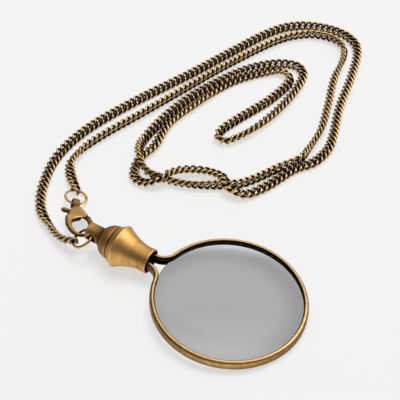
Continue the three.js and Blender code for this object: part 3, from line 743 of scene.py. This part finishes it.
# Pendant
rim_outer_radius = LENS_RADIUS - RIM_LIP + RIM_WALL
mouth_at = rim_outer_radius + MOUTH_GAP
ridge_at = mouth_at + FLARE_LENGTH
groove_at = ridge_at + BAND_LENGTH
neck_at = groove_at + DOME_LENGTH
neck_end_at = neck_at + NECK_LENGTH
mouth_radius = MOUTH_BORE + MOUTH_WALL
neck_bore = NECK_RADIUS - NECK_WALL
rim_rest_radius = rim_outer_radius - RIM_ROUNDING
pendant_tilt = math.atan2(RIDGE_RADIUS - RIM_WIDTH / 2, ridge_at + rim_rest_radius)
pendant_place = Vector(
    (
        0,
        NECK_END_PLACE - neck_end_at * math.cos(pendant_tilt),
        rim_rest_radius * math.sin(pendant_tilt) + RIM_WIDTH / 2 * math.cos(pendant_tilt),
    )
)
pendant_frame = Matrix.Translation(pendant_place) @ Matrix.Rotation(pendant_tilt, 4, "X")
lens_turn = Matrix.Rotation(math.pi / 2, 4, "X")


def lens_profile():
    """(radius, along) points over both faces."""
    sag = LENS_CURVE_RADIUS - math.sqrt(LENS_CURVE_RADIUS**2 - LENS_RADIUS**2)
    crown = LENS_EDGE / 2 + sag
    radii = np.linspace(0, LENS_RADIUS, LENS_PROFILE_STEPS)
    drop = LENS_CURVE_RADIUS - np.sqrt(LENS_CURVE_RADIUS**2 - radii**2)
    lower = np.stack([radii, drop - crown], axis=1)
    return np.concatenate([lower, (lower * (1, -1))[::-1]])


lens_points, lens_faces = lathe(lens_profile(), LATHE_STEPS)
lens = add_mesh("fine_lens", moved(lens_points, pendant_frame @ lens_turn), lens_faces, LENS_SHARP_ANGLE)
finish_piece(lens, grey_glass, "pendant", "lens_glass", "lens")
lens.data.materials.append(ground_edge)
lens_axis = pendant_frame.to_3x3() @ Vector((0, 0, 1))
for face in lens.data.polygons:
    face.material_index = int(abs(face.normal.dot(lens_axis)) < 0.5)


def rim_line():
    """The rim's middle line: one leg, the ring round the lens, the other leg."""
    line_radius = rim_outer_radius - RIM_WALL / 2
    bend_x = LEG_OFFSET + LEG_BEND_RADIUS
    bend_y = math.sqrt((line_radius + LEG_BEND_RADIUS) ** 2 - bend_x**2)
    lean = math.degrees(math.atan2(bend_x, bend_y))
    leg_end = mouth_at + LEG_DEPTH
    leg_y = np.linspace(leg_end, bend_y, RIM_LEG_STEPS, endpoint=False)
    leg = np.stack([np.full(RIM_LEG_STEPS, -LEG_OFFSET), leg_y], axis=1)
    bend = arc((-bend_x, bend_y), LEG_BEND_RADIUS, 0, lean - 90, RIM_BEND_STEPS)[:-1]
    ring = arc((0, 0), line_radius, 90 + lean, 450 - lean, RIM_RING_STEPS)
    line = np.concatenate([leg, bend, ring, (bend * (-1, 1))[::-1], (leg * (-1, 1))[::-1]])
    return np.column_stack([line, np.zeros(len(line))])


def rim_section():
    """Crowned above, flat below, rounded outside, grooved inside for the lens; (outwards, across the rim)."""
    half = RIM_WIDTH / 2
    out = RIM_WALL / 2
    lip = -RIM_WALL / 2
    floor = lip + RIM_LIP + GROOVE_ROOM
    groove = LENS_EDGE / 2 + GROOVE_ROOM
    quarter = arc((0, 0), 1, 0, 90, CROWN_STEPS)
    crown_at = out - RIM_CROWN[0]
    crown = (crown_at, half - RIM_CROWN[1]) + quarter * RIM_CROWN
    inner_crown = (crown_at, half - RIM_INNER_CROWN[1]) + (quarter * RIM_INNER_CROWN * (-1, 1))[::-1]
    foot = (out - RIM_ROUNDING, half - RIM_FOOT_HEIGHT) + quarter * (RIM_ROUNDING, RIM_FOOT_HEIGHT)
    foot_edge = arc((lip + RIM_EDGE, half - RIM_EDGE), RIM_EDGE, 90, 180, CORNER_STEPS)
    groove_edge = arc((lip + RIM_EDGE, groove + RIM_EDGE), RIM_EDGE, 180, 270, CORNER_STEPS)
    upper = np.concatenate([crown, inner_crown[1:-1], groove_edge, [(floor, groove)]])
    lower = np.concatenate([foot, foot_edge, groove_edge, [(floor, groove)]])
    return np.concatenate([upper, (lower * (1, -1))[::-1]])


def rim_wear_and_light(line, section):
    """The top edge is rubbed bright with a painted highlight along it, the side towards the viewer gets a
    painted highlight, the rim is darker low down, and the inside stays dark.
    """
    height = section[:, 1] / (RIM_WIDTH / 2)
    inside = np.clip((section[:, 0] + RIM_WALL / 2 - RIM_EDGE) / RIM_LIP, 0, 1)
    # Rubbed bright top edge, which also carries a painted highlight
    high = np.clip((height - RIM_TOP_FROM) / (1 - RIM_TOP_FROM), 0, 1)
    low = np.clip(1 - height, 0, 2)
    # Painted highlight: the rim's side towards the viewer is painted brighter
    near_side_lit = np.clip(-(line @ np.array(view_away)) / rim_outer_radius, 0, 1)[:, None] ** 4
    side = RIM_SIDE_BARE + RIM_NEAR_SIDE_HIGHLIGHT * near_side_lit - RIM_LOW_DARKENING * low
    return (RIM_PATINA + inside * (side + (RIM_TOP_WEAR_AND_HIGHLIGHT - side) * high)).ravel()


rim_points, rim_faces = flat_sweep(rim_line(), rim_section())
rim = add_mesh("fine_rim", moved(rim_points, pendant_frame), rim_faces)
set_wear_and_light(rim, rim_wear_and_light(rim_line(), rim_section()))
finish_piece(rim, cast_brass, "pendant", "aged_brass", "rim")


def cubic(start, pull_start, pull_end, end, steps):
    """A cubic curve from start to end, drawn towards the two pull points."""
    t = np.linspace(0, 1, steps)[:, None]
    start, pull_start, pull_end, end = (np.array(point) for point in (start, pull_start, pull_end, end))
    pulled = 3 * t * (1 - t) ** 2 * pull_start + 3 * t**2 * (1 - t) * pull_end
    return (1 - t) ** 3 * start + pulled + t**3 * end


def bell_profile():
    """(radius, along) points: down the outside from the neck's end to the mouth, then back up the bore."""
    neck, dome, ridge = NECK_RADIUS, DOME_RADIUS, RIDGE_RADIUS
    waist = MOUTH_BORE + WAIST_WALL
    outer = [
        arc((neck - NECK_LIP, neck_end_at - NECK_LIP), NECK_LIP, 90, 0, 6),
        [(neck, along) for along in np.linspace(neck_end_at - NECK_LIP, neck_at + 0.0008, 18)[1:-1]],
        cubic(
            (neck, neck_at + 0.0008), (neck, neck_at + 0.0003),
            (neck + 0.0001, neck_at + 0.0001), (DOME_FOOT_RADIUS, neck_at), 8,
        ),
        cubic(
            (DOME_FOOT_RADIUS, neck_at), (dome - 0.0009, neck_at - 0.0008),
            (dome - 0.0002, groove_at + 0.0018), (dome, groove_at + 0.0003), 18,
        )[1:],
        cubic(
            (dome - 0.00002, groove_at + 0.00018), (dome - 0.0002, groove_at + 0.0001),
            (dome - 0.0002, groove_at - 0.0001), (dome + 0.00004, groove_at - 0.00022), 6,
        ),
        cubic(
            (dome + 0.0001, groove_at - 0.0003), (dome + 0.00035, groove_at - 0.0009),
            (ridge - 0.0005, ridge_at + 0.0009), (ridge - 0.00012, ridge_at + 0.0003), 12,
        ),
        cubic(
            (ridge - 0.00006, ridge_at + 0.0002), (ridge + 0.00001, ridge_at + 0.00006),
            (ridge, ridge_at - 0.00008), (ridge - 0.0001, ridge_at - 0.0003), 8,
        ),
        cubic(
            (ridge - 0.00015, ridge_at - 0.0004), (ridge - 0.0016, ridge_at - 0.0029),
            (waist + 0.00005, ridge_at - 0.0056), (waist, mouth_at + 0.002), 28,
        ),
        cubic(
            (waist, mouth_at + 0.0018), (waist + 0.00002, mouth_at + 0.0012),
            (mouth_radius - 0.00006, mouth_at + 0.0008), (mouth_radius, mouth_at + 0.0003), 8,
        ),
        arc((mouth_radius - MOUTH_LIP, mouth_at + MOUTH_LIP), MOUTH_LIP, 0, -90, 5),
    ]
    inner = [(MOUTH_BORE, mouth_at), (MOUTH_BORE, ridge_at)]
    inner += [(neck_bore, groove_at + 0.001), (neck_bore, neck_end_at)]
    return np.concatenate([*outer, inner])


def bell_wear_and_light(mesh):
    """Bright on the ridge, the flare and the lips, where the ridge and the lips also carry a painted
    highlight line; dark in the groove, in the bore and at the neck's root.
    """
    # Levels along the bell; the brightest, at the mouth's lip and on the ridge, are partly a painted
    # highlight line
    along, bare = zip(
        (mouth_at, 1.05), (mouth_at + 0.0006, 0.72), (mouth_at + 0.003, 0.72), (ridge_at - 0.003, 0.83),
        (ridge_at - 0.0004, 0.86), (ridge_at, 1.02), (ridge_at + 0.0003, 0.8), (ridge_at + 0.0008, 0.7),
        (groove_at - 0.0003, 0.7), (groove_at, 0.3), (groove_at + 0.0003, 0.7), (groove_at + 0.0012, 0.52),
        (neck_at - 0.0012, 0.52), (neck_at, 0.2), (neck_at + 0.0005, 0.36), (neck_at + 0.0015, 0.5),
        (neck_end_at, 0.66),
    )
    inward = pendant_frame.inverted()
    place = np.array([inward @ vertex.co for vertex in mesh.vertices])
    from_axis = np.hypot(place[:, 0], place[:, 2])
    bore = np.where(place[:, 1] < ridge_at, MOUTH_BORE, neck_bore)
    outside = np.clip((from_axis - bore) / BORE_EDGE, 0, 1)
    from_hole = np.hypot(place[:, 1] - neck_end_at + CROSS_HOLE_FROM_END, place[:, 2]) - CROSS_HOLE_RADIUS
    rubbed = np.clip(1 - from_hole / HOLE_RUBBED_REACH, 0, 1) * (place[:, 1] > neck_at)
    return BELL_PATINA + outside * np.maximum(np.interp(place[:, 1], along, bare), rubbed)


def cut(made, cutter):
    """Takes the cutter away from a piece and removes it."""
    modifier = made.modifiers.new("cut", "BOOLEAN")
    modifier.operation = "DIFFERENCE"
    modifier.solver = "EXACT"
    modifier.object = cutter
    bpy.context.view_layer.update()
    shown = made.evaluated_get(bpy.context.evaluated_depsgraph_get())
    mesh = bpy.data.meshes.new_from_object(shown)
    made.modifiers.clear()
    made.data = mesh
    bpy.data.objects.remove(cutter)


bell_points, bell_faces = lathe(bell_profile(), LATHE_STEPS)
bell = add_mesh("fine_bell", moved(bell_points, pendant_frame), bell_faces)
drill_points, drill_faces = sweep(
    [np.array((x, neck_end_at - CROSS_HOLE_FROM_END, 0)) for x in (-2 * NECK_RADIUS, 2 * NECK_RADIUS)],
    [np.array((0, 1, 0))] * 2,
    [np.array((0, 0, 1))] * 2,
    circle_section(CROSS_HOLE_RADIUS, HOLE_SIDES),
)
cut(bell, add_mesh("drill", moved(drill_points, pendant_frame), drill_faces))
tidy_mesh(bell.data)
set_wear_and_light(bell, bell_wear_and_light(bell.data))
finish_piece(bell, turned_brass, "pendant", "aged_brass", "bell_cap")

# Clasp: cast forms, each drawn from a field that is negative inside the metal
roll_joint = joints["clasp_roll"]
lever_joint = joints["lever_open"]
clasp_along = Vector(roll_joint["axis"]).normalized()
clasp_normal = -Vector(lever_joint["axis"]).normalized()
clasp_across = clasp_along.cross(clasp_normal)
clasp_frame = Matrix((clasp_across, clasp_along, clasp_normal)).transposed().to_4x4()
clasp_frame.translation = Vector(roll_joint["pos_m"])


def field_grid(lower, upper, step):
    axes = [np.arange(low, high + step, step) for low, high in zip(lower, upper)]
    return np.meshgrid(*axes, indexing="ij")


def from_edge(start, end, x, y):
    """Each point's nearest place on an edge, 0 to 1 along it, and the way from there to the point."""
    run_x, run_y = end[0] - start[0], end[1] - start[1]
    t = np.clip(((x - start[0]) * run_x + (y - start[1]) * run_y) / (run_x**2 + run_y**2), 0, 1)
    return t, x - start[0] - t * run_x, y - start[1] - t * run_y


def outline_field(points, x, y):
    """Distance to a closed outline in the plane, negative inside."""
    points = np.asarray(points)
    nearest = np.full(x.shape, 1.0)
    inside = np.zeros(x.shape, dtype=bool)
    for start, end in zip(points, np.roll(points, -1, axis=0)):
        _, off_x, off_y = from_edge(start, end, x, y)
        nearest = np.minimum(nearest, np.hypot(off_x, off_y))
        if start[1] != end[1]:
            crosses = (start[1] > y) != (end[1] > y)
            inside ^= crosses & (x < start[0] + (y - start[1]) * (end[0] - start[0]) / (end[1] - start[1]))
    return np.where(inside, -nearest, nearest)


def plate_field(flat, z, thickness, rounding):
    """A plate with rounded edges, from the field of its outline in the plane."""
    side = flat + rounding
    rise = np.abs(z) - thickness / 2 + rounding
    within = np.minimum(np.maximum(side, rise), 0)
    beyond = np.hypot(np.maximum(side, 0), np.maximum(rise, 0))
    return within + beyond - rounding


def bar_field(line, x, y, z, flatten=1.0):
    """A round bar along (x, y, radius) points."""
    nearest = np.full(x.shape, 1.0)
    for start, end in zip(line, line[1:]):
        t, off_x, off_y = from_edge(start, end, x, y)
        reach = np.sqrt(off_x**2 + off_y**2 + (z / flatten) ** 2)
        nearest = np.minimum(nearest, reach - start[2] - t * (end[2] - start[2]))
    return nearest


def joined(one, other, blend):
    """Two forms that run into each other with a fillet."""
    t = np.clip(0.5 + 0.5 * (other - one) / blend, 0, 1)
    return other + (one - other) * t - blend * t * (1 - t)


def smooth_outline(points):
    """A smooth outline in the plane, through listed (x, y) points."""
    return smooth_line([(*point, 0) for point in points], OUTLINE_SPACING)[0][:, :2]


def smooth_bar(points):
    """A smooth line of (x, y, radius) points."""
    return smooth_line(points, BAR_SPACING)[0]


def field_mesh(name, values, lower, step, placed):
    """The surface where the field is zero: one point in each cell that it crosses, joined into quads."""
    inside = values < 0
    cells = tuple(size - 1 for size in values.shape)
    total = np.zeros((*cells, 3))
    count = np.zeros(cells)
    for axis in range(3):
        others = [a for a in range(3) if a != axis]
        for one, two in ((0, 0), (0, 1), (1, 0), (1, 1)):
            start = [0, 0, 0]
            start[others[0]], start[others[1]] = one, two
            end = list(start)
            end[axis] = 1
            near = values[tuple(slice(s, s + c) for s, c in zip(start, cells))]
            far = values[tuple(slice(s, s + c) for s, c in zip(end, cells))]
            crossed = (near < 0) != (far < 0)
            share = np.where(crossed, near / np.where(crossed, near - far, 1), 0)
            for a in range(3):
                total[..., a] += np.where(crossed, share if a == axis else start[a], 0)
            count += crossed
    used = count > 0
    index = np.full(cells, -1)
    index[used] = np.arange(used.sum())
    points = (np.argwhere(used) + total[used] / count[used][:, None]) * step + np.asarray(lower)
    faces = []
    for axis in range(3):
        b, c = [a for a in range(3) if a != axis]
        change = np.diff(inside, axis=axis)
        for edge in np.argwhere(change):
            corner = []
            for shift_b, shift_c in ((-1, -1), (0, -1), (0, 0), (-1, 0)):
                cell = edge.copy()
                cell[b] += shift_b
                cell[c] += shift_c
                corner.append(int(index[tuple(cell)]))
            faces.append(tuple(corner))
    return add_mesh(name, moved(points, placed), faces)


def body_field(x, y, z, pin):
    """A domed shield with an undercut window, the hook, the eye, and the lever's slot."""
    flat_x, flat_y = x[:, :, 0], y[:, :, 0]
    face = outline_field(smooth_outline(CLASP_FACE), flat_x, flat_y)[:, :, None]
    dome = z + SHIELD_DOME[0] * x**2 + SHIELD_DOME[1] * (y - SHIELD_CROWN) ** 2
    body = plate_field(face, dome - (CLASP_TOP + CLASP_FOOT) / 2, CLASP_TOP - CLASP_FOOT, CLASP_ROUNDING)
    window = outline_field(smooth_outline(WINDOW_OUTLINE), flat_x, flat_y)[:, :, None]
    undercut_top = UNDERCUT_TOP + UNDERCUT_LEAN * (WINDOW_OUTLINE[0][0] - x)
    undercut = np.clip(UNDERCUT_SLOPE * (undercut_top - z), 0, UNDERCUT_DEPTH)
    body = -joined(-body, window - undercut, WINDOW_EDGE)
    body = joined(body, bar_field(smooth_bar(HOOK_LINE), x, y, z), HOOK_FILLET)
    eye = np.hypot(y, z) - EYE_RADIUS
    body = joined(body, np.maximum(eye, np.abs(x) - EYE_WIDTH / 2), EYE_FILLET)
    body = np.maximum(body, EYE_HOLE_RADIUS - np.hypot(y, z))
    slot = np.maximum(outline_field(SLOT_OUTLINE, flat_x, flat_y)[:, :, None], np.abs(z) - SLOT_HEIGHT / 2)
    return np.maximum(np.maximum(body, -slot), -np.maximum(pin, z - PIN_TOP - PIN_CLEARANCE))


def lever_field(x, y, z, pin):
    """A flat thumb arm and boss on the pin, with the gate at one end and the knob at the other."""
    arm_line = [(*PIN_PLACE, LEVER_ARM_RADIUS), (*KNOB_PLACE, LEVER_ARM_RADIUS)]
    boss_line = [(*PIN_PLACE, LEVER_BOSS_RADIUS), (*GATE_LINE[0][:2], LEVER_BOSS_RADIUS)]
    plan = np.minimum(bar_field(arm_line, x, y, 0 * z), bar_field(boss_line, x, y, 0 * z))
    lever = plate_field(plan, z, LEVER_THICKNESS, LEVER_ROUNDING)
    lever = joined(lever, bar_field(smooth_bar(GATE_LINE), x, y, z, GATE_FLATNESS), GATE_FILLET)
    from_knob = (x - KNOB_PLACE[0], y - KNOB_PLACE[1], z)
    knob = np.sqrt(sum((off / size) ** 2 for off, size in zip(from_knob, KNOB_SIZE)))
    lever = joined(lever, (knob - 1) * min(KNOB_SIZE), KNOB_FILLET)
    return np.maximum(lever, -pin)


def clasp_shade(made):
    """Darkens the wall under the shield's edge with patina and painted shade, and the clasp low on its sides
    and by the eye.
    """
    inward = clasp_frame.inverted()
    x, y, z = np.array([inward @ vertex.co for vertex in made.data.vertices]).T
    window = outline_field(smooth_outline(WINDOW_OUTLINE), x, y)
    # Painted shade, together with patina, on the wall under the shield's edge
    wall = (np.abs(window) < WALL_REACH) & (z < WALL_TOP) & (y < WALL_END)
    return np.interp(z, *CLASP_LOW_SIDE_LEVELS) * np.interp(y, *CLASP_EYE_LEVELS) * np.where(wall, WALL_PATINA_AND_SHADE, 1)


grid_x, grid_y, grid_z = field_grid(CLASP_LOWER, CLASP_UPPER, FIELD_STEP)
pin_hole = np.hypot(grid_x - PIN_PLACE[0], grid_y - PIN_PLACE[1]) - PIN_RADIUS - PIN_CLEARANCE
body_values = body_field(grid_x, grid_y, grid_z, pin_hole)
lever_values = lever_field(grid_x, grid_y, grid_z, pin_hole)
clasp_body = field_mesh("fine_clasp_body", body_values, CLASP_LOWER, FIELD_STEP, clasp_frame)
clasp_lever = field_mesh("fine_clasp_lever", lever_values, CLASP_LOWER, FIELD_STEP, clasp_frame)
set_wear_and_light(clasp_body, edge_wear_and_highlight(clasp_body, *CLASP_EDGE_WEAR_AND_HIGHLIGHT) * clasp_shade(clasp_body))
set_wear_and_light(clasp_lever, edge_wear_and_highlight(clasp_lever, *LEVER_EDGE_WEAR_AND_HIGHLIGHT))
finish_piece(clasp_body, clasp_brass, "clasp", "clasp_brass", "clasp_body")
finish_piece(clasp_lever, clasp_brass, "lever", "clasp_brass", "clasp_lever")
pin_profile = np.array([
    (0, CLASP_FOOT - 0.0001), (PIN_RADIUS * 0.6, CLASP_FOOT - 0.00006), (PIN_RADIUS, CLASP_FOOT + 0.0001),
    (PIN_RADIUS, PIN_TOP - 0.0001), (PIN_RADIUS * 0.6, PIN_TOP), (0, PIN_TOP),
]) * (1, -1)
pin_points, pin_faces = lathe(pin_profile, PIN_STEPS)
pin_frame = clasp_frame @ Matrix.Translation((*PIN_PLACE, 0)) @ Matrix.Rotation(math.pi / 2, 4, "X")
clasp_pin = add_mesh("fine_clasp_pin", moved(pin_points, pin_frame), pin_faces)
set_wear_and_light(clasp_pin, PIN_BARE)
finish_piece(clasp_pin, clasp_brass, "clasp", "clasp_brass", "clasp_pin")

# A bent wire spring between the slot's end and the thumb arm
spring_line = smooth_line(SPRING_LINE, SPRING_SPACING)[0]
spring_points, spring_faces = flat_sweep(spring_line, circle_section(SPRING_WIRE / 2, SPRING_SIDES))
spring = add_mesh("fine_clasp_spring", moved(spring_points, clasp_frame), spring_faces)
spring.data.materials.append(spring_steel)
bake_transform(spring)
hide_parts("clasp_spring")

# The solder keeps its form from the frame
frame["nodes"]["solder_fill"].data.materials.clear()
frame["nodes"]["solder_fill"].data.materials.append(solder_metal)


# Floor and light
FLOOR_COLOUR = (0.887, 0.887, 0.887)
FLOOR_GLOW = 0.72
GLOW_THROUGH_GLASS = 0.15
FLOOR_HALF_WIDTH = 2
FLOOR_DROP = 0.00002


def floor_material():
    """A pale table. Seen straight, in metal or through glass it glows, which keeps its shadows light."""
    material, tree, shader = new_material("pale table")
    shader.inputs["Base Color"].default_value = rgba(FLOOR_COLOUR)
    shader.inputs["Roughness"].default_value = 0.9
    shader.inputs["Specular IOR Level"].default_value = 0.0
    glow = add_node(tree, "Emission", {"Color": rgba(FLOOR_COLOUR)})
    rays = add_node(tree, "LightPath")
    mirrored = math_node(tree, "MAXIMUM", rays.outputs["Is Camera Ray"], rays.outputs["Is Glossy Ray"])
    shown = math_node(tree, "MULTIPLY", mirrored, FLOOR_GLOW)
    share = math_node(tree, "MULTIPLY_ADD", rays.outputs["Is Transmission Ray"], GLOW_THROUGH_GLASS, shown)
    mix_surface(tree, share, shader, glow)
    return material


floor_signs = ((-1, -1), (1, -1), (1, 1), (-1, 1))
floor_corners = [(FLOOR_HALF_WIDTH * x, FLOOR_HALF_WIDTH * y, 0) for x, y in floor_signs]
floor = add_mesh("floor", floor_corners, [(0, 1, 2, 3)])
floor.location.z = -FLOOR_DROP
floor.data.materials.append(floor_material())


def area_light(name, right, away, up, size, watts):
    """A round lamp to the right of, beyond and above the middle of the view, turned towards it."""
    light = bpy.data.lights.new(name, "AREA")
    light.shape = "DISK"
    light.size = size
    light.energy = watts
    made = bpy.data.objects.new(name, light)
    place = VIEW_TARGET + right * view_right + away * view_away + up * view_up
    made.matrix_world = Matrix.Translation(place) @ look_at(place, VIEW_TARGET)
    made.visible_transmission = False
    scene.collection.objects.link(made)
    return made


area_light("key", right=1.9, away=0.35, up=1.35, size=2.2, watts=16).visible_diffuse = False
area_light("table", right=0.12, away=0.4, up=1.85, size=1.15, watts=28).visible_glossy = False

SKY_LIGHT = 0.62
SKY_SHOWN = 1.15
SKY_AXIS = (0.3 * view_right + 0.5 * view_away + view_up).normalized()
SKY_LEVELS = [(0.38, 0.14), (0.92, 1.0)]


def light_sky():
    """A sky that is bright overhead and dim at the horizon, and stronger where it is seen or mirrored."""
    world = bpy.data.worlds.new("studio")
    scene.world = world
    world.use_nodes = True
    tree = world.node_tree
    background = tree.nodes["Background"]
    overhead = dot_node(tree, add_node(tree, "TexCoord").outputs["Generated"], SKY_AXIS)
    tree.links.new(ramp_node(tree, overhead, SKY_LEVELS, "EASE"), background.inputs["Color"])
    rays = add_node(tree, "LightPath")
    mirrored = math_node(tree, "MAXIMUM", rays.outputs["Is Camera Ray"], rays.outputs["Is Glossy Ray"])
    shown = math_node(tree, "MAXIMUM", mirrored, rays.outputs["Is Transmission Ray"])
    strength = range_node(tree, shown, {"To Min": SKY_LIGHT, "To Max": SKY_SHOWN})
    tree.links.new(strength, background.inputs["Strength"])


light_sky()
